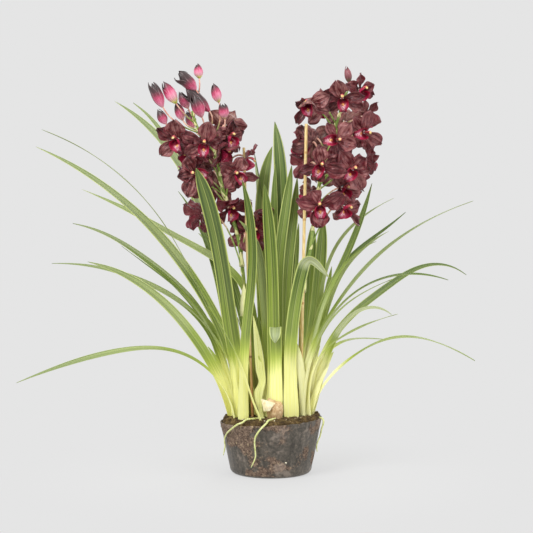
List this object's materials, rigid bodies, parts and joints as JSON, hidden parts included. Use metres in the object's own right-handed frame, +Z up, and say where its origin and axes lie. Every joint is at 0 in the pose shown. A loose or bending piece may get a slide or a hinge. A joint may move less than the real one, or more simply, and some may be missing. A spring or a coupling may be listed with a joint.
{
  "type": "potted cymbidium orchid",
  "caption": "Cymbidium orchid in a tapered pot: arching strap leaves, dark red flower spikes with pink buds, bamboo canes, hanging aerial roots.",
  "frame": {"origin": "centre of the pot's flat underside, on its axis", "axes": "+Z up along the pot's axis; the front of the plant faces -Y; the two flower spikes stand side by side along X, the one with the buds towards -X"},
  "size_m": [0.7347, 0.448, 0.691],
  "materials": {
    "earthy_pot": "satin",
    "soil": "matte",
    "leaf": "satin",
    "dry_leaf": "matte",
    "papery_husk": "matte",
    "flower_stem": "satin",
    "petal": "satin",
    "bamboo": "satin",
    "aerial_root": "satin"
  },
  "bodies": {
    "root": {"cane_left": "bamboo", "cane_right": "bamboo", "flower_left_01": "petal", "flower_left_02": "petal", "flower_left_03": "petal", "flower_left_04": "petal", "flower_left_05": "petal", "flower_left_06": "petal", "flower_left_07": "petal", "flower_left_08": "petal", "flower_left_09": "petal", "flower_right_01": "petal", "flower_right_02": "petal", "flower_right_03": "petal", "flower_right_04": "petal", "flower_right_05": "petal", "flower_right_06": "petal", "flower_right_07": "petal", "flower_right_08": "petal", "flower_right_09": "petal", "flower_right_10": "petal", "flower_right_11": "petal", "husk": "papery_husk", "leaf_centre_01": "leaf", "leaf_centre_02": "leaf", "leaf_centre_03": "leaf", "leaf_centre_04": "leaf", "leaf_centre_05": "leaf", "leaf_centre_06": "leaf", "leaf_centre_07": "leaf", "leaf_dry": "dry_leaf", "leaf_left_01": "leaf", "leaf_left_02": "leaf", "leaf_left_03": "leaf", "leaf_left_04": "leaf", "leaf_left_05": "leaf", "leaf_left_06": "leaf", "leaf_left_07": "leaf", "leaf_left_08": "leaf", "leaf_left_09": "leaf", "leaf_left_10": "leaf", "leaf_right_01": "leaf", "leaf_right_02": "leaf", "leaf_right_03": "leaf", "leaf_right_04": "leaf", "leaf_right_05": "leaf", "leaf_right_06": "leaf", "leaf_right_07": "leaf", "leaf_right_08": "leaf", "leaf_right_09": "leaf", "leaf_right_10": "leaf", "leaf_right_11": "leaf", "leaf_right_12": "leaf", "pot": "earthy_pot", "root_front": "aerial_root", "root_left": "aerial_root", "root_right": "aerial_root", "soil": "soil", "spike_left": "flower_stem", "spike_right": "flower_stem"}
  },
  "joints": []
}
